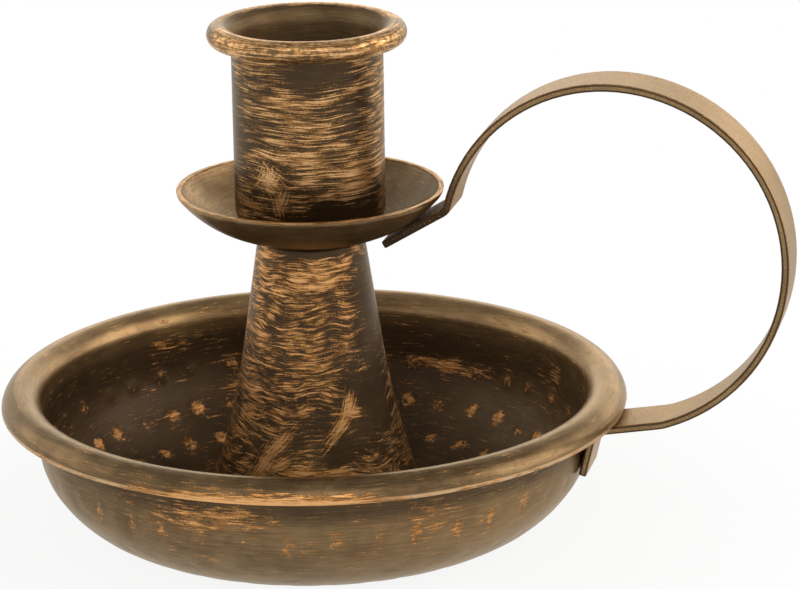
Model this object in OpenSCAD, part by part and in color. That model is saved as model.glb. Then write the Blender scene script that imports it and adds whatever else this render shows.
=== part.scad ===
// Chamber candle holder: a pressed pan, a hollow flared stem, a drip tray, a candle cup and a
// bent strap handle, all of thin sheet steel. One long screw down the middle clamps the stack.
// The candle's axis is Z, the table is Z = 0 and the handle points along +X.

/* [Pan] */
// Diameter over the rolled rim
pan_d = 102; // [90:1:120]
// Height of the rim's crown above the table
pan_h = 24; // [20:0.5:30]
// Thickness of the pan's sheet
pan_t = 0.8; // [0.6:0.1:1.2]
// Diameter of the flat that the pan stands on
foot_d = 56.2; // [50:0.2:62]
// Height at which the wall of the pan has turned upright
wall_turn_h = 15.3; // [12:0.1:16]
// Slope of the wall where its two bends meet, in degrees
wall_bend_angle = 59; // [50:1:65]
// Width of the rolled rim, from the inside of the wall to its free edge
rim_w = 6.6; // [5:0.2:8]

/* [Recess under the pan] */
// Height of the recess that hides the nut
recess_h = 5.6; // [5.2:0.1:7]
// Radius of the flat top of the recess, before its bend
recess_r = 6.2; // [5.8:0.1:8]
// Steepness of the side of the recess, in degrees
recess_slope = 70; // [55:1:80]
// Radius inside the bends of the recess
recess_bend = 0.6; // [0.4:0.1:1.2]

/* [Stem] */
// Height of the stem, from the pan's floor to the drip tray
stem_h = 47.6; // [40:0.2:60]
// Diameter of the stem under the drip tray
stem_top_d = 17.1; // [15:0.1:20]
// Thickness of the stem's sheet
stem_t = 0.8; // [0.6:0.1:1.2]
// Taper of the straight upper part, in degrees to the axis
stem_taper = 8.5; // [5:0.5:11]
// Height of the straight upper part
stem_straight_h = 18.7; // [12:0.1:24]
// Radius of the long flare below it
stem_flare_r = 135; // [110:1:170]
// Radius of the turn at the foot
stem_foot_bend = 3; // [2:0.1:4]
// Width of the flat edge that stands on the pan
stem_flange = 1.2; // [0.5:0.1:1.5]
// Radius inside the turn at the top
stem_top_bend = 0.4; // [0.2:0.1:1]

/* [Drip tray] */
// Diameter of the drip tray
tray_d = 43; // [38:0.5:48]
// Thickness of the tray's sheet
tray_t = 0.8; // [0.6:0.1:1.2]
// Diameter of the flat in the middle of the tray
tray_floor_d = 17; // [15:0.5:19]
// Radius of the bend round that flat
tray_floor_bend = 5; // [3:0.5:7]
// Slope of the tray where that bend ends, in degrees
tray_start_angle = 9; // [5:1:14]
// Radius of the curved flank
tray_flank_r = 19.4; // [17:0.2:24]
// Radius of the turned up lip
tray_lip_bend = 1.5; // [1.3:0.1:2.5]

/* [Candle cup] */
// Diameter of the candle's bore, for a 22 mm taper candle
bore_d = 22.6; // [20:0.1:26]
// Thickness of the cup's sheet
cup_t = 0.8; // [0.6:0.1:1.2]
// Height of the cup, with its rim
cup_h = 34; // [28:0.5:42]
// Radius of the rounded bottom edge
cup_corner = 4; // [3:0.1:5.5]
// Radius of the mouth's flare
cup_flare = 2.9; // [2.2:0.1:3.5]
// Radius of the rolled bead
cup_bead = 1.72; // [1.5:0.02:2]
// Turn of the bead past its crown, in degrees
cup_bead_turn = 240; // [200:5:250]

/* [Handle] */
// Width of the strap
strap_w = 9.2; // [7:0.1:12]
// Thickness of the strap
strap_t = 1.25; // [1:0.05:1.6]
// Slope of the end that lies under the drip tray, in degrees
tray_tab_angle = 31; // [26:1:34]
// Length of that end, inwards from where it touches the tray
tray_tab_in = 4.1; // [2:0.1:5]
// Gap between the drip tray's edge and the corner of the strap
kink_gap = 1.35; // [1:0.05:3]
// Radius inside the corner beside the tray
kink_bend = 1; // [0.8:0.1:2]
// Slope of the strap where the loop starts, in degrees
rise_angle = 77; // [70:1:80]
// Slope at the top of the loop where its two arcs meet, in degrees
crown_angle = -3; // [-10:1:8]
// Slope of the strap where the loop ends, in degrees
return_angle = 20; // [15:1:25]
// Slope of the straight run to the pan, in degrees
run_angle = 10; // [6:1:13]
// Radius of the bend between the loop and that run
return_bend = 8; // [5:0.5:12]
// Straight length outside the pan's rim
run_length = 6.4; // [5:0.1:9]
// Lean of the end that lies against the pan, in degrees to the axis
pan_tab_lean = 13; // [8:1:18]
// Radius inside the corner under the pan's rim
pan_tab_bend = 1.5; // [1:0.1:2]
// Length of that end, down from where it touches the pan
pan_tab_down = 0.6; // [0.3:0.1:1.5]

/* [Screw, nut and washer] */
// Diameter of the screw
screw_d = 4; // [3:0.5:5]
// Diameter of the screw's head
head_d = 8; // [7:0.1:10]
// Height of the screw's head
head_h = 2.4; // [1.8:0.1:3]
// Radius of the head's domed top
head_dome_r = 7; // [6:0.5:12]
// Width of the slot in the head
slot_w = 1; // [0.8:0.1:1.4]
// Depth of the slot in the head
slot_depth = 1.1; // [0.8:0.1:1.4]
// Diameter of the washer
washer_d = 9; // [8:0.1:10]
// Thickness of the washer
washer_t = 0.8; // [0.5:0.1:1]
// Width of the nut across its flats
nut_w = 7; // [6:0.5:8]
// Height of the nut
nut_h = 3.2; // [2.4:0.1:3.4]
// Length of screw that shows below the nut
screw_end = 0.5; // [0.2:0.1:0.6]

/* [Clearances] */
// Gap round the screw in the sheets and the washer
hole_gap = 0.2; // [0.1:0.05:0.5]
// Gap between the threads of the screw and the nut
thread_gap = 0.05; // [0.02:0.01:0.1]
// Gap at the welds between the strap and the curved sheets
weld_gap = 0.05; // [0.02:0.01:0.1]
// Gap between the strap and the pan's rim above it
rim_gap = 0.2; // [0.1:0.05:0.5]

/* [Hidden] */
$fn = 96;
arc_step = 12;
arc_error = 0.015;

painted = "#4a3826";
strap_colour = "#b09a78";
zinc = "#a9a69c";

// Heights of the stack
stem_top_z = pan_t + stem_h;
cup_z = stem_top_z + tray_t;
cup_floor_z = cup_z + cup_t;
cup_top_z = cup_z + cup_h;
washer_z = recess_h - washer_t;
nut_z = washer_z - nut_h;
screw_end_z = nut_z - screw_end;

// Radii
pan_r = pan_d / 2;
rim_r = rim_w / 2;
rim_z = pan_h - rim_r;
wall_r = pan_r - rim_w + pan_t;
foot_r = foot_d / 2;
tray_r = tray_d / 2;
tray_floor_r = tray_floor_d / 2;
cup_r = bore_d / 2 + cup_t;
hole_r = screw_d / 2 + hole_gap;

// Radii of the two bends of the pan's wall, which reach wall_r at wall_turn_h
bend_x = [sin(wall_bend_angle), 1 - sin(wall_bend_angle)];
bend_z = [1 - cos(wall_bend_angle), cos(wall_bend_angle)];
bend_det = bend_x[0] * bend_z[1] - bend_x[1] * bend_z[0];
lower_bend = ((wall_r - foot_r) * bend_z[1] - wall_turn_h * bend_x[1]) / bend_det;
upper_bend = (wall_turn_h * bend_x[0] - (wall_r - foot_r) * bend_z[0]) / bend_det;
upper_bend_centre = [wall_r - upper_bend, wall_turn_h];

// The side of the recess, between its two bends
recess_turn_h = (2 * recess_bend + pan_t) * (1 - cos(recess_slope));
recess_side = (recess_h - recess_turn_h) / sin(recess_slope);
recess_foot_r = recess_r + (2 * recess_bend + pan_t) * sin(recess_slope) + recess_side * cos(recess_slope);

// The stem's flare, from the end of its straight part down to the bend at its foot
flare_top = [stem_top_d / 2 + stem_straight_h * tan(stem_taper), stem_top_z - stem_straight_h];
flare_centre = flare_top + stem_flare_r * [cos(stem_taper), sin(stem_taper)];
foot_bend_z = pan_t + stem_t + stem_foot_bend;
foot_drop = flare_centre[1] - foot_bend_z;
foot_bend_r = flare_centre[0] - sqrt(pow(stem_flare_r - stem_foot_bend, 2) - pow(foot_drop, 2));
foot_slope = atan2(foot_drop, flare_centre[0] - foot_bend_r);
stem_top_tangent = (stem_top_bend + stem_t) * tan((90 - stem_taper) / 2);

// The slope at which the tray's flank meets its lip
tray_reach = tray_r - tray_floor_r - tray_lip_bend;
tray_start_reach = (tray_flank_r - tray_floor_bend) * sin(tray_start_angle);
tray_end_angle = asin((tray_reach + tray_start_reach) / (tray_flank_r - tray_lip_bend));
tray_flank_centre = [tray_floor_r, stem_top_z + tray_floor_bend]
    + (tray_flank_r - tray_floor_bend) * left(tray_start_angle);

// A direction in a drawing plane, and the direction to its left
function dir(a) = [cos(a), sin(a)];
function left(a) = [-sin(a), cos(a)];

// A run of sheet is [0, length] where it is straight and [radius, turn] where it bends.
// A turn to the left is positive, and the radius is that of the sheet's right face.
function part_of(run, share) = [run[0], run[1] * share];
function end_point(p, a, run) = run[0] == 0
    ? p + run[1] * dir(a)
    : p + sign(run[1]) * run[0] * (left(a) - left(a + run[1]));
function end_angle(a, run) = run[0] == 0 ? a : a + run[1];

// A bend is drawn in steps that leave the round by less than arc_error
function step_angle(run) = min(arc_step, 2 * acos(1 - arc_error / run[0]));
function step_count(run) = run[0] == 0 ? 1 : ceil(abs(run[1]) / step_angle(run));

// Each point of the right face after the first, with the sheet's direction there
function stations(p, a, runs, i = 0) = i == len(runs) ? [] : concat(
    let (run = runs[i], n = step_count(run))
        [for (k = [1:n]) [end_point(p, a, part_of(run, k / n)), end_angle(a, part_of(run, k / n))]],
    stations(end_point(p, a, runs[i]), end_angle(a, runs[i]), runs, i + 1)
);

// Bent sheet seen on edge: its right face starts at p in direction a and follows the runs
module sheet(p, a, runs, t) {
    line = concat([[p, a]], stations(p, a, runs));
    right_face = [for (s = line) s[0]];
    left_face = [for (i = [len(line) - 1:-1:0]) line[i][0] + t * left(line[i][1])];
    polygon(concat(right_face, left_face));
}

// Pressed pan: the recess for the nut, the flat foot, the bowl's wall and the rolled rim
module pan() {
    runs = [
        [0, recess_r - hole_r],
        [recess_bend, -recess_slope],
        [0, recess_side],
        [recess_bend + pan_t, recess_slope],
        [0, foot_r - recess_foot_r],
        [lower_bend, wall_bend_angle],
        [upper_bend, 90 - wall_bend_angle],
        [0, rim_z - wall_turn_h],
        [rim_r - pan_t, -180]
    ];
    color(painted) rotate_extrude() sheet([hole_r, recess_h], 0, runs, pan_t);
}

// Hollow stem: a closed top with the screw's hole, the cone, the flare and a flat edge on the pan
module stem() {
    runs = [
        [0, stem_top_d / 2 - stem_top_tangent - hole_r],
        [stem_top_bend, stem_taper - 90],
        [0, stem_straight_h / cos(stem_taper) - stem_top_tangent],
        [stem_flare_r + stem_t, foot_slope - stem_taper],
        [stem_foot_bend + stem_t, 90 - foot_slope],
        [0, stem_flange]
    ];
    color(painted) rotate_extrude() sheet([hole_r, stem_top_z - stem_t], 0, runs, stem_t);
}

// Drip tray: a flat middle, a curved flank and a turned up lip
module drip_tray() {
    runs = [
        [0, tray_floor_r - hole_r],
        [tray_floor_bend, tray_start_angle],
        [tray_flank_r, tray_end_angle - tray_start_angle],
        [tray_lip_bend, 90 - tray_end_angle]
    ];
    color(painted) rotate_extrude() sheet([hole_r, stem_top_z], 0, runs, tray_t);
}

// Deep drawn cup with a rounded bottom, a flared mouth and a rolled bead
module candle_cup() {
    runs = [
        [0, cup_r - cup_corner - hole_r],
        [cup_corner, 90],
        [0, cup_h - cup_corner - cup_flare],
        [cup_flare - cup_t, -90],
        [cup_bead - cup_t, -cup_bead_turn]
    ];
    color(painted) rotate_extrude() sheet([hole_r, cup_z], 0, runs, cup_t);
}

// Strap handle, bent from one flat bar: welded under the tray, looped, and welded to the pan
module handle() {
    touch_tray = tray_flank_centre - (tray_flank_r + weld_gap) * left(tray_tab_angle);
    kink_turn = rise_angle - tray_tab_angle;
    to_kink = (tray_r + kink_gap - touch_tray[0]) / cos(tray_tab_angle);
    tray_tab = tray_tab_in + to_kink - kink_bend * tan(kink_turn / 2);
    start = touch_tray - tray_tab_in * dir(tray_tab_angle) - strap_t * left(tray_tab_angle);
    kink_end = end_point(start + tray_tab * dir(tray_tab_angle), tray_tab_angle,
        [kink_bend + strap_t, kink_turn]);

    // The straight run passes just under the rim and meets the end that leans on the pan
    run_dir = -dir(run_angle);
    tab_up = [sin(pan_tab_lean), cos(pan_tab_lean)];
    under_rim = [pan_r, rim_z - rim_gap];
    touch_pan = upper_bend_centre + (upper_bend + weld_gap) * dir(-pan_tab_lean);
    apart = under_rim - touch_pan;
    det = run_dir[0] * tab_up[1] - run_dir[1] * tab_up[0];
    run_inside = (tab_up[0] * apart[1] - tab_up[1] * apart[0]) / det;
    tab_above = (run_dir[0] * apart[1] - run_dir[1] * apart[0]) / det;
    corner_turn = 90 - pan_tab_lean - run_angle;
    corner_r = pan_tab_bend + strap_t;
    corner_tangent = corner_r * tan(corner_turn / 2);

    // Two arcs join the kink to the run, and their radii close the loop
    run_start = under_rim - run_length * run_dir;
    loop_end = run_start - return_bend * (left(-180 + run_angle) - left(-180 + return_angle));
    across = loop_end - kink_end;
    first = left(crown_angle) - left(rise_angle);
    second = left(-180 + return_angle) - left(crown_angle);
    loop_det = first[0] * second[1] - first[1] * second[0];
    first_r = (across[0] * second[1] - across[1] * second[0]) / loop_det;
    second_r = (first[0] * across[1] - first[1] * across[0]) / loop_det;

    runs = [
        [0, tray_tab],
        [kink_bend + strap_t, kink_turn],
        [first_r, crown_angle - rise_angle],
        [second_r, return_angle - 180 - crown_angle],
        [return_bend, run_angle - return_angle],
        [0, run_length + run_inside - corner_tangent],
        [corner_r, corner_turn],
        [0, tab_above - corner_tangent + pan_tab_down]
    ];
    color(strap_colour)
        rotate([90, 0, 0])
            linear_extrude(strap_w, center = true)
                sheet(start, tray_tab_angle, runs, strap_t);
}

// Long screw with a slotted, domed head that sits in the bottom of the cup
module tie_screw() {
    color(zinc) {
        translate([0, 0, screw_end_z]) cylinder(d = screw_d, h = cup_floor_z - screw_end_z);
        difference() {
            translate([0, 0, cup_floor_z])
                rotate_extrude()
                    intersection() {
                        square([head_d / 2, head_h]);
                        translate([0, head_h - head_dome_r]) circle(head_dome_r);
                    }
            translate([-head_d, -slot_w / 2, cup_floor_z + head_h - slot_depth])
                cube([2 * head_d, slot_w, head_h]);
        }
    }
}

// Flat washer under the top of the recess
module washer() {
    color(zinc)
        translate([0, 0, washer_z])
            difference() {
                cylinder(d = washer_d, h = washer_t);
                translate([0, 0, -washer_t]) cylinder(r = hole_r, h = 3 * washer_t);
            }
}

// Hexagon nut with chamfered corners
module nut() {
    corner_d = nut_w / cos(30);
    chamfer = (corner_d - nut_w) / 2;
    color(zinc)
        translate([0, 0, nut_z])
            difference() {
                intersection() {
                    cylinder(d = corner_d, h = nut_h, $fn = 6);
                    union() {
                        cylinder(d1 = nut_w, d2 = nut_w + 4 * chamfer, h = 2 * chamfer);
                        translate([0, 0, 2 * chamfer])
                            cylinder(d = nut_w + 4 * chamfer, h = nut_h - 2 * chamfer);
                    }
                }
                translate([0, 0, -nut_h])
                    cylinder(r = screw_d / 2 + thread_gap, h = 3 * nut_h);
            }
}

pan();
stem();
drip_tray();
candle_cup();
handle();
tie_screw();
washer();
nut();
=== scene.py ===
"""Looks for the chamber candle holder: satin brown paint with dry-brushed copper on thin steel."""
import math
import random

import bmesh
import bpy
from mathutils import Matrix, Vector


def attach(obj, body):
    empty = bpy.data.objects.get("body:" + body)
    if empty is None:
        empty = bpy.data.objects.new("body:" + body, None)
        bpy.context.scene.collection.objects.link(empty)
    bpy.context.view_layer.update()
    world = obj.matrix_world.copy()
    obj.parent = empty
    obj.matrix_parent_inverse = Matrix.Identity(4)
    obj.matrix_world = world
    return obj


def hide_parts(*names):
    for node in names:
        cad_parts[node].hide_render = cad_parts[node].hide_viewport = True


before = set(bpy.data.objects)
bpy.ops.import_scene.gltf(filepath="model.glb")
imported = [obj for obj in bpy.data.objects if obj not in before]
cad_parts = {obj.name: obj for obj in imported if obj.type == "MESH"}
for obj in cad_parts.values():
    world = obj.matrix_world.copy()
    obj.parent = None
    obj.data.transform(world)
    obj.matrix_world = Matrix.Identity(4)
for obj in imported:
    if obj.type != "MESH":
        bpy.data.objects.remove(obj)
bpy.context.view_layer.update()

MM = 0.001

# Camera, from the lines of the pan's rim, the cup and the handle in the photograph
CAMERA_AZIMUTH = 14.08
CAMERA_ELEVATION = 17.37
CAMERA_ROLL = 0.8
CAMERA_DISTANCE = 551.3 * MM
CAMERA_LENS = 153.0
AIM_SIDE = 14.19 * MM
AIM_HEIGHT = 37.75 * MM

# Colours of the finish, and of the painted light and shade, as they look in plain light
DARK_GROUND = ("#3b2a19", "#4c3a25")
# A paler brown that stands in for light: on the pan's rim and outside and the right of its inside, in the
# cup's throat and bead, and at the stem's foot
PAINTED_LIGHT_BROWN = ("#5e492f", "#7d6545")
# A paler brown still, painted light on the back of the pan's rim and the right of its outside
PAINTED_LIGHT_RIM = ("#785e3e", "#967952")
COPPER = ("#5f4325", "#a8743c", "#e0a96e")
GOLDEN_COPPER = ("#5f4727", "#ab7b45", "#e6b984")
DULL_COPPER = ("#5f4527", "#9a6f40", "#cda470")
# The tray's brown, also a painted highlight along the middle of the strap's narrow sides
TRAY_BROWN_AND_HIGHLIGHT = ("#7a6041", "#9d825b")
# Paler brown of the strap's wide faces, a painted sheen
STRAP_PAINTED_SHEEN = ("#896b45", "#a2845b")
# Pale line along the lower edge of the pan's rim: worn paint and a painted highlight
WORN_EDGE_AND_HIGHLIGHT = "#c8a67c"
GRAZING_TAN = "#f7ecd8"
ZINC = ("#8b887d", "#a9a69c")

# How finely the sheet metal is drawn
TURNING_STEPS = 240
PAN_STEPS = 574
EDGE_ROUND = 0.36 * MM
STRAP_EDGE_ROUND = 0.3 * MM
STRAP_BORDER = 0.12 * MM
STRAP_FLAT = 4.2 * MM
HARDWARE_EDGE_ROUND = 0.12 * MM

# Pips hammered into the pan's wall from below, in three rings. Each ring has the radius and
# height of its middle on the inner face, the wall's slope there, its count, its first angle and
# how much copper its pips took, from the least to the most.
PIP_RINGS = (
    (44.1, 12.5, 76.8, 42, 177.0, 0.15, 0.65),
    (40.7, 6.5, 48.6, 41, 170.0, 0.45, 0.95),
    (35.3, 2.4, 25.2, 35, 153.8, 0.6, 1.0),
)
PIP_RADIUS = 1.9 * MM
PIP_HEIGHT = 0.2 * MM
PAN_SHEET = 0.8 * MM

# Height of the lower edge of the pan's rolled rim, in millimetres
RIM_EDGE = 20.7

# How much copper the dents of the top ring took outside, between two angles round the axis
RUBBED_DENTS = ((-62, -22, 1.0), (-128, -62, 0.7), (-155, -128, 0.4))


def linear(code):
    """An sRGB hex colour as linear RGBA."""
    parts = [int(code[i:i + 2], 16) / 255 for i in (1, 3, 5)]
    return [c / 12.92 if c <= 0.04045 else ((c + 0.055) / 1.055) ** 2.4 for c in parts] + [1.0]


def add(tree, kind, sockets=None, **settings):
    """Adds a shader node. A socket, by name or number, takes a value or the output that feeds it."""
    node = tree.nodes.new("ShaderNode" + kind)
    for name, value in settings.items():
        setattr(node, name, value)
    for key, value in (sockets or {}).items():
        if isinstance(value, bpy.types.NodeSocket):
            tree.links.new(value, node.inputs[key])
        else:
            node.inputs[key].default_value = value
    return node.outputs


def new_object(name, bm, material):
    """A smooth mesh object from a bmesh."""
    mesh = bpy.data.meshes.new(name)
    bm.to_mesh(mesh)
    bm.free()
    mesh.materials.append(material)
    for face in mesh.polygons:
        face.use_smooth = True
    made = bpy.data.objects.new(name, mesh)
    bpy.context.scene.collection.objects.link(made)
    return made


def cad_mesh(node):
    """A bmesh copy of a CAD node with its loose triangles merged."""
    bm = bmesh.new()
    bm.from_mesh(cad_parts[node].data)
    bmesh.ops.remove_doubles(bm, verts=bm.verts, dist=1e-6)
    return bm


def round_edges(bm, width, angle, segments=3):
    """Rounds every edge whose faces meet more sharply than angle, in degrees."""
    sharp = [e for e in bm.edges if e.is_manifold and e.calc_face_angle(0) > math.radians(angle)]
    bmesh.ops.bevel(bm, geom=sharp, offset=width, affect="EDGES", segments=segments,
                    profile=0.5, material=-1, clamp_overlap=True)


def half_section(node):
    """The closed outline of the node's sheet, in the half plane where x is its radius."""
    bm = cad_mesh(node)
    bmesh.ops.bisect_plane(bm, geom=bm.verts[:] + bm.edges[:] + bm.faces[:], dist=1e-7,
                           plane_co=(0, 0, 0), plane_no=(0, 1, 0), clear_inner=True, clear_outer=True)
    bmesh.ops.delete(bm, geom=[v for v in bm.verts if v.co.x < 0], context="VERTS")
    bmesh.ops.remove_doubles(bm, verts=bm.verts, dist=2e-6)
    return bm


def spin_section(bm, steps):
    """Turns a half section once round the candle's axis."""
    bmesh.ops.spin(bm, geom=bm.verts[:] + bm.edges[:], cent=(0, 0, 0), axis=(0, 0, 1),
                   angle=2 * math.pi, steps=steps, use_merge=True, use_duplicate=False)
    bmesh.ops.remove_doubles(bm, verts=bm.verts, dist=1e-6)
    bmesh.ops.recalc_face_normals(bm, faces=bm.faces)


def ring_place(ring, radius, height):
    """Where a point of the wall lies from a pip ring: along the wall, and through the sheet inwards."""
    slope = math.radians(ring[2])
    out, up = radius - ring[0] * MM, height - ring[1] * MM
    return out * math.cos(slope) + up * math.sin(slope), up * math.cos(slope) - out * math.sin(slope)


def near_ring(ring, radius, height, reach):
    """Whether a point of the wall lies within reach of a pip ring's line."""
    along, inward = ring_place(ring, radius, height)
    return abs(along) < reach and -2 * PAN_SHEET < inward < PAN_SHEET


def fine_wall_rows(bm):
    """Adds rows to the pan's section where the pips go, and smooths them into the bend."""
    edges = []
    for edge in bm.edges:
        middle = (edge.verts[0].co + edge.verts[1].co) / 2
        if any(near_ring(ring, middle.x, middle.z, PIP_RADIUS) for ring in PIP_RINGS):
            edges.append(edge)
    made = bmesh.ops.subdivide_edges(bm, edges=edges, cuts=2)
    rows = {v for g in made["geom"] if isinstance(g, bmesh.types.BMEdge) for v in g.verts}
    for _ in range(4):
        bmesh.ops.smooth_vert(bm, verts=list(rows), factor=0.5, use_axis_x=True, use_axis_z=True)


def hammer_pips(bm):
    """Presses the pips through the sheet: bumps inside, dents outside, and marks how worn each is."""
    crown = bm.verts.layers.float.new("crown")
    chance = random.Random(7)
    for ring in PIP_RINGS:
        slope, count, first, least, most = math.radians(ring[2]), *ring[3:]
        pitch = 360 / count
        pips = [(first - pitch * k + chance.uniform(-0.9, 0.9), chance.uniform(0.85, 1.1),
                 chance.uniform(-0.25, 0.25) * MM, chance.uniform(least, most)) for k in range(count)]
        for vert in bm.verts:
            radius = math.hypot(vert.co.x, vert.co.y)
            if not near_ring(ring, radius, vert.co.z, 2 * PIP_RADIUS):
                continue
            along, inward = ring_place(ring, radius, vert.co.z)
            angle = math.degrees(math.atan2(vert.co.y, vert.co.x))
            place, share, shift, worn = pips[round((first - angle) / pitch) % count]
            turn = math.radians(math.remainder(angle - place, 360)) * ring[0] * MM
            reach = PIP_RADIUS * share
            dome = max(1 - (math.hypot(turn, along - shift) / reach) ** 2, 0)
            outside = inward < -PAN_SHEET / 2
            push = PIP_HEIGHT * share * dome ** 2 * (0.45 if outside else 1)
            radius = 1 - push * math.sin(slope) / radius
            vert.co = (vert.co.x * radius, vert.co.y * radius, vert.co.z + push * math.cos(slope))
            if not outside:
                vert[crown] = dome * worn
            elif ring is PIP_RINGS[0]:
                rubbed = max((w for low, high, w in RUBBED_DENTS if low < angle < high), default=0.0)
                streak = 1 - math.hypot(turn / 0.8, (along - shift) / 1.8) ** 2 / reach ** 2
                vert[crown] = max(streak * rubbed * (0.44 + 0.55 * worn), 0)


def make_camera():
    """The camera of the photograph: it looks at a point beside the candle's axis."""
    azimuth, elevation = math.radians(CAMERA_AZIMUTH), math.radians(CAMERA_ELEVATION)
    side = Vector((math.cos(azimuth), math.sin(azimuth), 0))
    back = Vector((math.sin(azimuth) * math.cos(elevation),
                   -math.cos(azimuth) * math.cos(elevation), math.sin(elevation)))
    aim = side * AIM_SIDE + Vector((0, 0, AIM_HEIGHT))
    camera = bpy.data.objects.new("camera", bpy.data.cameras.new("camera"))
    bpy.context.scene.collection.objects.link(camera)
    camera.data.sensor_width = 36
    camera.data.lens = CAMERA_LENS
    camera.data.clip_start, camera.data.clip_end = 0.01, 20
    camera.location = aim + back * CAMERA_DISTANCE
    turn = Matrix.Rotation(math.radians(-CAMERA_ROLL), 3, "Z")
    frame_axes = Matrix((side, back.cross(side), back)).transposed()
    camera.rotation_mode = "QUATERNION"
    camera.rotation_quaternion = (frame_axes @ turn).to_quaternion()
    bpy.context.scene.camera = camera


def soft_lamp(name, place, size, power, colour="#fff6ea"):
    """A square lamp that faces the object."""
    data = bpy.data.lights.new(name, "AREA")
    data.shape = "RECTANGLE"
    data.size, data.size_y = size
    data.energy = power
    data.color = linear(colour)[:3]
    lamp = bpy.data.objects.new(name, data)
    lamp.location = place
    lamp.rotation_mode = "QUATERNION"
    lamp.rotation_quaternion = (Vector(place) - Vector((0, 0, 0.04))).to_track_quat("Z", "Y")
    bpy.context.scene.collection.objects.link(lamp)


def new_material(name):
    """An empty material, its node tree and the place on the object in millimetres."""
    material = bpy.data.materials.new(name)
    material.use_nodes = True
    tree = material.node_tree
    tree.nodes.clear()
    metres = add(tree, "TexCoord")["Object"]
    return material, tree, add(tree, "VectorMath", {0: metres, "Scale": 1 / MM}, operation="SCALE")[0]


def round_axis(tree, place):
    """The radius and height of a place, and how far its face looks to the axis, from -1 to 1."""
    flat = add(tree, "VectorMath", {0: place, 1: (1, 1, 0)}, operation="MULTIPLY")[0]
    radius = add(tree, "VectorMath", {0: flat}, operation="LENGTH")["Value"]
    height = add(tree, "SeparateXYZ", {0: place})["Z"]
    inwards = add(tree, "VectorMath", {0: flat}, operation="NORMALIZE")[0]
    inwards = add(tree, "VectorMath", {0: inwards, "Scale": -1.0}, operation="SCALE")[0]
    normal = add(tree, "NewGeometry")["Normal"]
    return radius, height, add(tree, "VectorMath", {0: normal, 1: inwards}, operation="DOT_PRODUCT")["Value"]


def brush_strokes(tree, place, length, pitch, waver, bristle=0.6):
    """Strokes that run round the axis, as a field about zero, and the fine lines of the bristles."""
    drift = add(tree, "TexNoise", {"Vector": place, "Scale": 0.3 / length, "Detail": 1.5})["Color"]
    wavy = add(tree, "VectorMath", {0: drift, 1: (0, 0, waver), 2: place}, operation="MULTIPLY_ADD")[0]
    radius = round_axis(tree, place)[0]
    layers = []
    for long, wide in ((length, pitch), (1.5 * length, 0.32 * pitch)):
        row = add(tree, "VectorMath", {0: wavy, 1: (1 / long, 1 / long, 1 / wide)}, operation="MULTIPLY")[0]
        ring = add(tree, "Math", {0: radius, 1: 1 / wide}, operation="MULTIPLY")[0]
        noise = add(tree, "TexNoise", {"Vector": row, "W": ring, "Scale": 1.0, "Detail": 3.0,
                                       "Roughness": 0.6}, noise_dimensions="4D")[0]
        layers.append(add(tree, "Math", {0: noise, 1: 0.5}, operation="SUBTRACT")[0])
    field = add(tree, "Math", {0: layers[1], 1: bristle, 2: layers[0]}, operation="MULTIPLY_ADD")[0]
    return field, layers[1]


def spot(tree, place, angle, radius, height, reach, lean=0.0):
    """A soft spot on a turned wall: 1 in the middle, 0 past its reach, and its own coordinates."""
    stand = Matrix.Rotation(math.radians(angle + 90), 3, "Z") @ Matrix.Rotation(math.radians(90), 3, "X")
    stand = stand @ Matrix.Rotation(math.radians(lean), 3, "Z")
    middle = (radius * math.cos(math.radians(angle)), radius * math.sin(math.radians(angle)), height)
    local = add(tree, "Mapping", {"Vector": place, "Location": middle, "Rotation": stand.to_euler(),
                                  "Scale": (reach[0], reach[1], 7.0)}, vector_type="TEXTURE")[0]
    return add(tree, "TexGradient", {"Vector": local}, gradient_type="SPHERICAL")["Fac"], local


def cover_map(tree, place, base, patches, patch_size, spots=()):
    """How much copper was rubbed on: an even share, cloudy patches and the spots of this piece."""
    cloud = add(tree, "TexNoise", {"Vector": place, "Scale": 1 / patch_size, "Detail": 2.0})[0]
    cover = add(tree, "Math", {0: cloud, 1: patches, 2: base - patches / 2}, operation="MULTIPLY_ADD")[0]
    for angle, radius, height, reach, lean, strength in spots:
        soft = spot(tree, place, angle, radius, height, reach, lean)[0]
        cover = add(tree, "Math", {0: soft, 1: strength, 2: cover}, operation="MULTIPLY_ADD")[0]
    return cover


def scuffs(tree, place, marks, rise, load=0.42):
    """Adds single swipes of a nearly dry brush, as bundles of torn hairs, to the rise of the copper.

    A greater load fills the swipes more. The hairs are drawn 0.4 mm apart, coarser than real
    bristles, so that they show in the render.
    """
    for angle, radius, height, reach, lean in marks:
        soft, local = spot(tree, place, angle, radius, height, reach, lean)
        fan = add(tree, "TexNoise", {"Vector": local, "Scale": 1.1})["Color"]
        hair = add(tree, "VectorMath", {0: fan, 1: (0, 0.5, 0), 2: local}, operation="MULTIPLY_ADD")[0]
        hair = add(tree, "VectorMath", {0: hair, 1: (reach[0] / 4.5, reach[1] / 0.4, 1.0)},
                   operation="MULTIPLY")[0]
        torn = add(tree, "TexNoise", {"Vector": hair, "Scale": 1.0, "Detail": 4.0, "Roughness": 0.7})[0]
        edge = add(tree, "Math", {0: soft, 1: load, 2: -0.79}, operation="MULTIPLY_ADD")[0]
        swipe = add(tree, "Math", {0: torn, 1: edge}, operation="ADD")[0]
        swipe = add(tree, "Math", {0: swipe, 1: 3.0}, operation="MULTIPLY")[0]
        rise = add(tree, "Math", {0: rise, 1: swipe}, operation="MAXIMUM")[0]
    return rise


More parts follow.
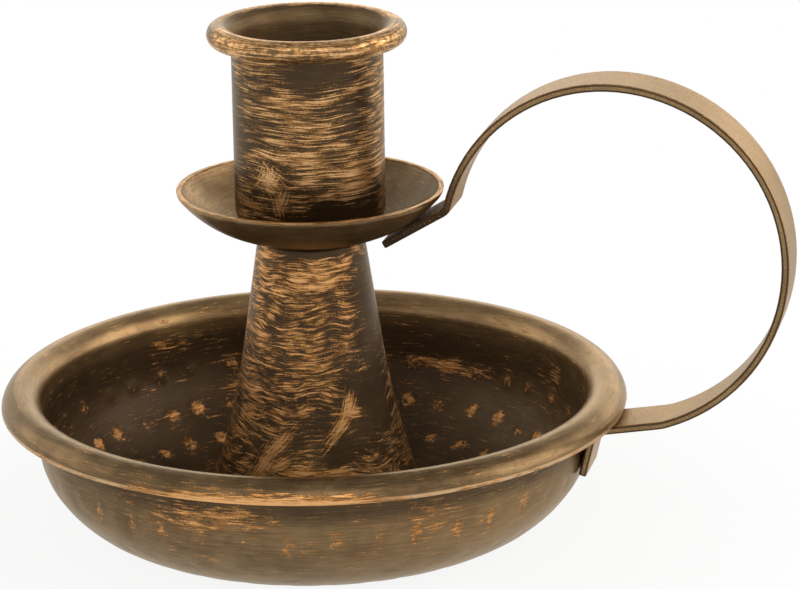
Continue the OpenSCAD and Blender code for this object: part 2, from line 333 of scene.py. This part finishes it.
def cloudy(tree, place, size, codes, bristles):
    """A paint colour that drifts between two shades over size, in millimetres, with faint brush lines."""
    cloud = add(tree, "TexNoise", {"Vector": place, "Scale": 1 / size, "Detail": 4.0, "Roughness": 0.6})[0]
    cloud = add(tree, "Math", {0: bristles, 1: 0.9, 2: cloud}, operation="MULTIPLY_ADD")[0]
    shade = add(tree, "MapRange", {"Value": cloud, "From Min": 0.34, "From Max": 0.66})[0]
    return add(tree, "Mix", {0: shade, 6: linear(codes[0]), 7: linear(codes[1])}, data_type="RGBA")[2]


def finish_paint(material, tree, place, rise, bristles, ground, dull=0.0, sharpness=5.0, codes=COPPER):
    """Joins paint and copper: colour, sheen and thickness. Copper shows where the rise is above 0.

    Where dull is 1 the paint is nearly matt. A thin clear lacquer gives the pale lines at the edges.
    """
    grit = add(tree, "TexNoise", {"Vector": place, "Scale": 1 / 0.3, "Detail": 3.0, "Roughness": 0.65})[0]
    gritty = add(tree, "Math", {0: grit, 1: 0.44, 2: -0.22}, operation="MULTIPLY_ADD")[0]
    rise = add(tree, "Math", {0: rise, 1: gritty}, operation="ADD")[0]
    copper = add(tree, "Math", {0: rise, 1: sharpness, 2: 0.55}, operation="MULTIPLY_ADD", use_clamp=True)[0]
    body = add(tree, "Math", {0: bristles, 1: 1.6, 2: rise}, operation="MULTIPLY_ADD")[0]
    body = add(tree, "MapRange", {"Value": body, "From Min": -0.16, "From Max": 0.4})[0]
    metal = add(tree, "ValToRGB", {"Fac": body})["Color"]
    ramp = metal.node.color_ramp
    ramp.elements.new(0.5)
    for element, code in zip(ramp.elements, codes):
        element.color = linear(code)
    colour = add(tree, "Mix", {0: copper, 6: ground, 7: metal}, data_type="RGBA")[2]
    rough = add(tree, "MapRange", {"Value": grit, "To Min": 0.28, "To Max": 0.44})[0]
    rough = add(tree, "Math", {0: dull, 1: 0.25, 2: rough}, operation="MULTIPLY_ADD")[0]
    relief = add(tree, "Math", {0: grit, 1: 0.2, 2: copper}, operation="MULTIPLY_ADD")[0]
    bump = add(tree, "Bump", {"Height": relief, "Strength": 0.9, "Distance": 0.04 * MM})[0]
    shader = add(tree, "BsdfPrincipled", {"Base Color": colour, "Metallic": 0.75, "Roughness": rough,
                                          "Specular Tint": linear(GRAZING_TAN), "Coat Weight": 0.08,
                                          "Coat Roughness": 0.22, "Normal": bump})[0]
    add(tree, "OutputMaterial", {"Surface": shader})
    return material


def cup_paint():
    """Steel cup, sprayed satin brown and dry-brushed round with copper.

    The copper lies in wavy level strokes over a dark ground, thin under the bead and at the foot.
    """
    material, tree, place = new_material("dry_brushed_copper_on_cup")
    strokes, bristles = brush_strokes(tree, place, length=4.0, pitch=0.6, waver=2.2, bristle=0.8)
    cover = cover_map(tree, place, 0.02, 0.3, 6.0, (
        (-70, 12.1, 77.0, (9, 3.2), 0, -0.4),
        (-50, 12.1, 55.0, (12, 6.0), 0, -0.45),
        (-95, 12.1, 51.0, (9, 5.0), 0, -0.35),
        (-84, 12.1, 63.6, (12, 1.8), 0, 0.2),
        (-40, 12.1, 71.0, (5, 6.0), 0, -0.25),
        (-106, 12.1, 60.0, (7.0, 5.0), 0, -0.2),
        (-124, 12.1, 66.0, (6, 14.0), 0, -0.12),
        (-154, 12.1, 66.0, (6, 18.0), 0, -0.36),
        (-36, 12.1, 58.5, (4, 4.0), 0, 0.3),
        (-48, 12.1, 57.5, (3, 5.0), 0, 0.2),
        (-165, 15.0, 82.0, (8, 4.0), 0, -0.35),
        (12, 15.0, 82.0, (7, 4.0), 0, -0.25),
    ))
    radius, height, inwards = round_axis(tree, place)
    bead = add(tree, "MapRange", {"Value": radius, "From Min": 12.6, "From Max": 14.0})[0]
    dash = add(tree, "TexNoise", {"Vector": place, "Scale": 1 / 0.7, "Detail": 2.0})[0]
    dash = add(tree, "Math", {0: dash, 1: 0.9, 2: -0.33}, operation="MULTIPLY_ADD")[0]
    cover = add(tree, "Math", {0: bead, 1: dash, 2: cover}, operation="MULTIPLY_ADD")[0]
    throat = add(tree, "MapRange", {"Value": inwards, "From Min": 0.25, "From Max": 0.75})[0]
    cover = add(tree, "Math", {0: throat, 1: -0.7, 2: cover}, operation="MULTIPLY_ADD")[0]
    rise = add(tree, "Math", {0: strokes, 1: cover}, operation="ADD")[0]
    rise = scuffs(tree, place, (
        (-107, 12.1, 60.4, (6.0, 5.0), 62),
        (-106, 12.1, 60.2, (6.0, 5.0), -38),
        (-108, 12.1, 59.6, (7.0, 4.0), -6),
        (-97, 12.1, 56.8, (5.0, 3.0), 70),
        (-99, 12.1, 56.0, (4.4, 3.0), -75),
        (-62, 12.1, 57.8, (7, 1.8), 8),
    ), rise)
    dark = cloudy(tree, place, 9.0, DARK_GROUND, bristles)
    brown = cloudy(tree, place, 9.0, PAINTED_LIGHT_BROWN, bristles)
    # Painted light: the throat and the bead take a paler brown than the dark ground
    lit_throat_and_bead = add(tree, "Math", {0: throat, 1: bead}, operation="MAXIMUM")[0]
    ground = add(tree, "Mix", {0: lit_throat_and_bead, 6: dark, 7: brown}, data_type="RGBA")[2]
    dull = add(tree, "Math", {0: bead, 1: -0.2, 2: throat}, operation="MULTIPLY_ADD")[0]
    return finish_paint(material, tree, place, rise, bristles, ground, dull, codes=GOLDEN_COPPER)


def stem_paint():
    """Steel stem, sprayed satin brown and dry-brushed round with copper in short, dense strokes."""
    material, tree, place = new_material("dry_brushed_copper_on_stem")
    strokes, bristles = brush_strokes(tree, place, length=2.4, pitch=0.65, waver=4.5, bristle=0.75)
    cover = cover_map(tree, place, -0.01, 0.42, 4.5, (
        (-27, 12.5, 22.7, (7, 12.0), 0, -0.45),
        (-10, 10.5, 37.9, (6, 12.0), 0, -0.4),
        (-58, 14.2, 15.5, (5.5, 4.0), 0, -0.4),
        (-75, 9.0, 48.0, (12, 1.6), 0, -0.4),
        (-85, 9.2, 43.0, (8, 4.0), 0, 0.12),
        (-103, 14.4, 15.6, (6, 5.0), 0, -0.12),
        (-66, 13.4, 19.0, (9, 5.0), 0, -0.12),
    ))
    # Towards the foot the copper thins and the ground is painted paler brown, as painted light where the pan
    # shades it
    foot = add(tree, "MapRange", {"Value": round_axis(tree, place)[1], "From Min": 24.0, "From Max": 12.0})[0]
    foot = add(tree, "Math", {0: foot, 1: 0.4}, operation="MULTIPLY")[0]
    cover = add(tree, "Math", {0: foot, 1: -0.15, 2: cover}, operation="MULTIPLY_ADD")[0]
    rise = add(tree, "Math", {0: strokes, 1: cover}, operation="ADD")[0]
    rise = scuffs(tree, place, (
        (-101, 14.2, 16.4, (10, 3.0), 50),
        (-109, 14.9, 13.2, (9, 3.2), 62),
        (-98, 15.0, 13.6, (6, 2.2), 30),
        (-57, 13.5, 19.4, (9, 2.6), 48),
        (-49, 12.9, 22.6, (6, 3.2), 68),
        (-47, 12.9, 21.6, (5, 2.2), -10),
        (-84, 15.4, 12.6, (8, 1.8), 0),
        (-62, 15.4, 12.6, (8, 1.7), 0),
    ), rise, load=0.48)
    dark = cloudy(tree, place, 9.0, DARK_GROUND, bristles)
    brown = cloudy(tree, place, 9.0, PAINTED_LIGHT_BROWN, bristles)
    ground = add(tree, "Mix", {0: foot, 6: dark, 7: brown}, data_type="RGBA")[2]
    return finish_paint(material, tree, place, rise, bristles, ground)


def tray_paint():
    """Steel tray in smooth satin brown, with copper only where the brush caught its lip, its top edge
    also a painted highlight. Its right side is painted darker, as painted shade, and its underside
    stays paler, as painted light.
    """
    material, tree, place = new_material("satin_brown_paint_on_tray")
    strokes, bristles = brush_strokes(tree, place, length=3.0, pitch=0.6, waver=0.8)
    cover = cover_map(tree, place, -0.22, 0.25, 5.0, (
        (-138, 16.0, 51.5, (6, 3.0), 0, 0.12),
        (-28, 17.0, 52.0, (6, 3.0), 0, 0.08),
    ))
    radius, height, inwards = round_axis(tree, place)
    # Copper on the lip, most on its top edge, which also stands in for the lip's thin highlight
    lip = add(tree, "MapRange", {"Value": height, "From Min": 55.0, "From Max": 56.0, "To Max": 0.16})[0]
    edge = add(tree, "MapRange", {"Value": height, "From Min": 55.9, "From Max": 56.1, "To Max": 0.25})[0]
    rise = add(tree, "Math", {0: strokes, 1: cover}, operation="ADD")[0]
    rise = add(tree, "Math", {0: rise, 1: lip}, operation="ADD")[0]
    rise = add(tree, "Math", {0: rise, 1: edge}, operation="ADD")[0]
    pale = cloudy(tree, place, 5.0, TRAY_BROWN_AND_HIGHLIGHT, bristles)
    dark = cloudy(tree, place, 5.0, DARK_GROUND, bristles)
    # Painted shade on the right side of the tray; underneath it keeps the paler brown, as painted light
    right = add(tree, "MapRange", {"Value": add(tree, "SeparateXYZ", {0: place})["X"],
                                   "From Min": -6.0, "From Max": 10.0, "To Max": 0.75})[0]
    under = add(tree, "SeparateXYZ", {0: add(tree, "NewGeometry")["Normal"]})["Z"]
    under = add(tree, "MapRange", {"Value": under, "From Min": 0.0, "From Max": -0.3})[0]
    right = add(tree, "Math", {0: right, 1: under}, operation="SUBTRACT", use_clamp=True)[0]
    ground = add(tree, "Mix", {0: right, 6: pale, 7: dark}, data_type="RGBA")[2]
    return finish_paint(material, tree, place, rise, bristles, ground, codes=DULL_COPPER)


def pan_paint():
    """Steel pan in smooth satin brown, rubbed with copper on its rim, its pips and its wall.

    The rim and the outside are painted paler brown than the dark ground inside the bowl: painted
    light outside and painted shade inside. The rim is painted paler still towards the back and the
    outside towards the right, as painted light. The wall under the rim is painted darker, as painted
    shade, and the rim's lower edge has a pale line of worn paint and painted highlight.
    """
    material, tree, place = new_material("satin_brown_paint_on_pan")
    strokes, bristles = brush_strokes(tree, place, length=2.6, pitch=0.5, waver=0.8)
    cover = cover_map(tree, place, -0.21, 0.4, 5.0, (
        (-80, 51.0, 20.3, (24, 2.8), 0, 0.75),
        (-98, 51.0, 21.0, (12, 2.4), 0, 0.4),
        (-96, 46.5, 15.8, (20, 3.6), 0, 0.34),
        (-52, 46.2, 15.2, (9, 4.5), 0, 0.28),
        (74, 44.0, 12.9, (13, 2.0), 0, 0.4),
        (124, 42.5, 9.0, (10, 2.0), 0, 0.3),
        (40, 45.5, 16.5, (6, 3.0), 0, 0.2),
        (140, 45.5, 18.0, (6, 2.0), 0, 0.25),
    ))
    radius, height, inwards = round_axis(tree, place)
    # Outer band of the rim's lower edge, for copper wear and for a painted highlight
    worn_and_lit_edge = add(tree, "MapRange", {"Value": radius, "From Min": 50.2, "From Max": 50.9})[0]
    low = add(tree, "MapRange", {"Value": height, "From Min": RIM_EDGE + 0.9, "From Max": RIM_EDGE + 0.3,
                                 "To Max": 0.22})[0]
    cover = add(tree, "Math", {0: worn_and_lit_edge, 1: low, 2: cover}, operation="MULTIPLY_ADD")[0]
    rise = add(tree, "Math", {0: strokes, 1: cover}, operation="ADD")[0]
    crown = add(tree, "Attribute", attribute_name="crown")["Fac"]
    chip = add(tree, "TexNoise", {"Vector": place, "Scale": 1 / 0.9, "Detail": 3.0, "Roughness": 0.6})[0]
    dab = add(tree, "Math", {0: chip, 1: 1.0, 2: -0.78}, operation="MULTIPLY_ADD")[0]
    dab = add(tree, "Math", {0: crown, 1: 0.6, 2: dab}, operation="MULTIPLY_ADD")[0]
    rise = add(tree, "Math", {0: rise, 1: dab}, operation="MAXIMUM")[0]
    up = add(tree, "SeparateXYZ", {0: add(tree, "NewGeometry")["Normal"]})["Z"]
    bowl = add(tree, "Math", {0: inwards, 1: up}, operation="ADD")[0]
    bowl = add(tree, "MapRange", {"Value": bowl, "From Min": -0.2, "From Max": 0.2})[0]
    deep = add(tree, "MapRange", {"Value": height, "From Min": 21.5, "From Max": 18.0})[0]
    inside = add(tree, "Math", {0: bowl, 1: deep}, operation="MULTIPLY")[0]
    # Painted light: the rim and the outside take a paler brown than the dark ground inside
    lit_ground = cloudy(tree, place, 6.0, PAINTED_LIGHT_BROWN, bristles)
    pale = cloudy(tree, place, 8.0, PAINTED_LIGHT_RIM, bristles)
    painted_shade_ground = cloudy(tree, place, 12.0, DARK_GROUND, bristles)
    # Painted light: the rim is painted paler towards the back, and the outside towards the right
    back = add(tree, "MapRange", {"Value": add(tree, "SeparateXYZ", {0: place})["Y"],
                                  "From Min": -34.0, "From Max": 4.0})[0]
    rim = add(tree, "MapRange", {"Value": height, "From Min": 17.5, "From Max": 19.5})[0]
    back = add(tree, "Math", {0: back, 1: rim}, operation="MULTIPLY")[0]
    right = add(tree, "SeparateXYZ", {0: place})["X"]
    right = add(tree, "MapRange", {"Value": right, "From Min": 5.0, "From Max": 42.0, "To Max": 0.8})[0]
    back = add(tree, "Mix", {0: rim, 2: right, 3: back})[0]
    lit_ground = add(tree, "Mix", {0: back, 6: lit_ground, 7: pale}, data_type="RGBA")[2]
    # Painted shade: the wall just under the rolled rim is painted darker
    painted_shade_under_rim = add(tree, "MapRange", {"Value": height, "From Min": 14.6, "From Max": 17.0, "To Max": 0.8})[0]
    wall = add(tree, "MapRange", {"Value": radius, "From Min": 46.6, "From Max": 46.0})[0]
    painted_shade_under_rim = add(tree, "Math", {0: painted_shade_under_rim, 1: wall}, operation="MULTIPLY")[0]
    painted_shade_under_rim = add(tree, "Math", {0: painted_shade_under_rim, 1: bowl}, operation="SUBTRACT", use_clamp=True)[0]
    lit_ground = add(tree, "Mix", {0: painted_shade_under_rim, 6: lit_ground, 7: painted_shade_ground}, data_type="RGBA")[2]
    # Pale line along the rim's lower edge: worn paint and a painted highlight
    hem_highlight = add(tree, "MapRange", {"Value": height, "From Min": RIM_EDGE + 0.8, "From Max": RIM_EDGE + 0.55})[0]
    hem_highlight = add(tree, "Math", {0: hem_highlight, 1: worn_and_lit_edge}, operation="MULTIPLY")[0]
    lit_ground = add(tree, "Mix", {0: hem_highlight, 6: lit_ground, 7: linear(WORN_EDGE_AND_HIGHLIGHT)}, data_type="RGBA")[2]
    # Painted light: inside the bowl the ground is painted paler brown towards the right
    brown = cloudy(tree, place, 8.0, PAINTED_LIGHT_BROWN, bristles)
    right = add(tree, "Math", {0: right, 1: 0.6}, operation="MULTIPLY")[0]
    painted_shade_ground = add(tree, "Mix", {0: right, 6: painted_shade_ground, 7: brown}, data_type="RGBA")[2]
    # Painted shade: the inside of the bowl takes the dark ground
    ground = add(tree, "Mix", {0: inside, 6: lit_ground, 7: painted_shade_ground}, data_type="RGBA")[2]
    dull = add(tree, "Math", {0: rim, 1: -0.2, 2: inside}, operation="MULTIPLY_ADD")[0]
    return finish_paint(material, tree, place, rise, bristles, ground, dull, 7.0)


def strap_paint():
    """Steel strap in smooth satin brown, with copper specks on its corners. Its wide faces are painted
    paler, as painted sheen, and its narrow sides darker, as painted shade, with a painted highlight
    along their middle that stops under the tray.
    """
    material, tree, place = new_material("satin_brown_paint_on_strap")
    normal = add(tree, "NewGeometry")["Normal"]
    facing = add(tree, "SeparateXYZ", {0: normal})["Y"]
    facing = add(tree, "Math", {0: facing}, operation="ABSOLUTE")[0]
    speck = add(tree, "TexNoise", {"Vector": place, "Scale": 1 / 0.35, "Detail": 3.0, "Roughness": 0.7})[0]
    far = add(tree, "SeparateXYZ", {0: place})["X"]
    near_tray = add(tree, "MapRange", {"Value": far, "From Min": 70.0, "From Max": 25.0,
                                       "To Min": -0.62, "To Max": -0.5})[0]
    under_tray = add(tree, "MapRange", {"Value": far, "From Min": 27.0, "From Max": 23.0})[0]
    # Middle of each narrow side: copper and a painted highlight, both left out under the tray
    middle = add(tree, "Attribute", attribute_name="middle")["Fac"]
    middle = add(tree, "Math", {0: middle, 1: under_tray}, operation="SUBTRACT", use_clamp=True)[0]
    rise = add(tree, "Math", {0: speck, 1: near_tray}, operation="ADD")[0]
    # Painted shade: the narrow sides take the dark ground, and the wide faces a paler brown as painted sheen
    side = add(tree, "MapRange", {"Value": facing, "From Min": 0.5, "From Max": 0.9})[0]
    away = add(tree, "Math", {0: middle, 1: side}, operation="SUBTRACT")[0]
    rise = add(tree, "Math", {0: away, 1: 0.15, 2: rise}, operation="MULTIPLY_ADD")[0]
    rise = add(tree, "Math", {0: rise, 1: 0.05}, operation="SUBTRACT")[0]
    bristles = add(tree, "Math", {0: speck, 1: 0.5}, operation="SUBTRACT")[0]
    lit_ground = cloudy(tree, place, 10.0, STRAP_PAINTED_SHEEN, bristles)
    painted_shade_ground = cloudy(tree, place, 10.0, DARK_GROUND, bristles)
    narrow_side_highlight = cloudy(tree, place, 10.0, TRAY_BROWN_AND_HIGHLIGHT, bristles)
    painted_shade_ground = add(tree, "Mix", {0: middle, 6: painted_shade_ground, 7: narrow_side_highlight}, data_type="RGBA")[2]
    ground = add(tree, "Mix", {0: side, 6: lit_ground, 7: painted_shade_ground}, data_type="RGBA")[2]
    return finish_paint(material, tree, place, rise, bristles, ground, under_tray, codes=DULL_COPPER)


def zinc_plate():
    """Turned steel, zinc plated: pale grey with a dull, slightly uneven shine."""
    material, tree, place = new_material("zinc_plated_steel")
    tone = add(tree, "TexNoise", {"Vector": place, "Scale": 1 / 1.5, "Detail": 4.0})[0]
    colour = add(tree, "Mix", {0: tone, 6: linear(ZINC[0]), 7: linear(ZINC[1])}, data_type="RGBA")[2]
    rough = add(tree, "MapRange", {"Value": tone, "To Min": 0.25, "To Max": 0.45})[0]
    shader = add(tree, "BsdfPrincipled", {"Base Color": colour, "Metallic": 1.0, "Roughness": rough})[0]
    add(tree, "OutputMaterial", {"Surface": shader})
    return material


def floor_material():
    """Plain pale floor that keeps the shadow. The camera sees it pale to the white background."""
    material, tree, place = new_material("pale_floor")
    away = add(tree, "VectorMath", {0: place}, operation="LENGTH")["Value"]
    fade = add(tree, "MapRange", {"Value": away, "From Min": 45.0, "From Max": 110.0, "To Min": 0.9},
               interpolation_type="SMOOTHERSTEP")[0]
    ray = add(tree, "LightPath")
    seen = add(tree, "Math", {0: fade, 1: ray["Is Camera Ray"]}, operation="MULTIPLY")[0]
    seen = add(tree, "Math", {0: seen, 1: ray["Is Glossy Ray"]}, operation="MAXIMUM")[0]
    seen = add(tree, "Math", {0: seen, 1: ray["Is Transmission Ray"]}, operation="MAXIMUM")[0]
    lit = add(tree, "BsdfPrincipled", {"Base Color": linear("#f4f3f0"), "Roughness": 0.9,
                                       "Specular IOR Level": 0.0})[0]
    white = add(tree, "Emission", {"Color": (1, 1, 1, 1), "Strength": 1.0})[0]
    mixed = add(tree, "MixShader", {0: seen, 1: lit, 2: white})[0]
    add(tree, "OutputMaterial", {"Surface": mixed})
    return material


def make_world(ambient, ceiling):
    """A studio: white all round for the camera, and for gloss white at eye level and dim overhead."""
    world = bpy.data.worlds.new("studio")
    bpy.context.scene.world = world
    world.use_nodes = True
    tree = world.node_tree
    tree.nodes.clear()
    ray = add(tree, "LightPath")
    height = add(tree, "SeparateXYZ", {0: add(tree, "TexCoord")["Generated"]})["Z"]
    dim = add(tree, "MapRange", {"Value": height, "From Min": 0.3, "From Max": 0.9,
                                 "To Min": 1.0, "To Max": ceiling})[0]
    dim = add(tree, "Math", {0: dim, 1: ray["Is Camera Ray"]}, operation="MAXIMUM")[0]
    seen = add(tree, "Math", {0: ray["Is Camera Ray"], 1: ray["Is Glossy Ray"]}, operation="MAXIMUM")[0]
    seen = add(tree, "Math", {0: seen, 1: ray["Is Transmission Ray"]}, operation="MAXIMUM")[0]
    fill = add(tree, "Background", {"Color": (1, 1, 1, 1), "Strength": ambient})[0]
    white = add(tree, "Background", {"Color": (1, 1, 1, 1), "Strength": dim})[0]
    mixed = add(tree, "MixShader", {0: seen, 1: fill, 2: white})[0]
    add(tree, "OutputWorld", {"Surface": mixed})


make_camera()

bm = half_section("pan")
fine_wall_rows(bm)
spin_section(bm, PAN_STEPS)
hammer_pips(bm)
round_edges(bm, EDGE_ROUND, 50)
piece = new_object("pan_sheet", bm, pan_paint())
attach(piece, "root")
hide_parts("pan")

for node, make_paint in (("stem", stem_paint), ("drip_tray", tray_paint), ("candle_cup", cup_paint)):
    bm = half_section(node)
    spin_section(bm, TURNING_STEPS)
    round_edges(bm, EDGE_ROUND, 50)
    piece = new_object(node + "_sheet", bm, make_paint())
    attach(piece, "root")
    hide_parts(node)

bm = cad_mesh("handle")
bmesh.ops.dissolve_limit(bm, angle_limit=math.radians(1), verts=bm.verts, edges=bm.edges)
round_edges(bm, STRAP_EDGE_ROUND, 40)
narrow = [f for f in bm.faces if abs(f.normal.y) > 0.999]
bmesh.ops.inset_region(bm, faces=narrow, thickness=STRAP_BORDER, use_even_offset=True)
middle = bm.verts.layers.float.new("middle")
for vert in {v for f in narrow for v in f.verts}:
    vert[middle] = 1
for side in (-1, 1):
    bmesh.ops.bisect_plane(bm, geom=bm.verts[:] + bm.edges[:] + bm.faces[:], dist=1e-7,
                           plane_co=(0, side * STRAP_FLAT, 0), plane_no=(0, 1, 0))
piece = new_object("strap", bm, strap_paint())
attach(piece, "root")
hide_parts("handle")

zinc = zinc_plate()
for node in ("tie_screw", "washer", "nut"):
    bm = cad_mesh(node)
    bmesh.ops.dissolve_limit(bm, angle_limit=math.radians(1), verts=bm.verts, edges=bm.edges)
    round_edges(bm, HARDWARE_EDGE_ROUND, 40, segments=2)
    piece = new_object(node + "_plated", bm, zinc)
    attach(piece, "root")
    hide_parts(node)

bm = bmesh.new()
bmesh.ops.create_grid(bm, x_segments=1, y_segments=1, size=3)
floor = new_object("floor", bm, floor_material())

soft_lamp("left", (-0.75, 0.1, 0.4), (0.7, 0.6), 1.2)
soft_lamp("right", (0.75, 0.2, 0.4), (0.8, 0.6), 3.8)
soft_lamp("back", (0.0, 0.95, 0.3), (1.3, 0.35), 1.8)
soft_lamp("front", (0.15, -0.8, 0.75), (0.9, 0.6), 2.5)
make_world(0.4, 0.4)
bpy.context.scene.view_settings.view_transform = "Standard"
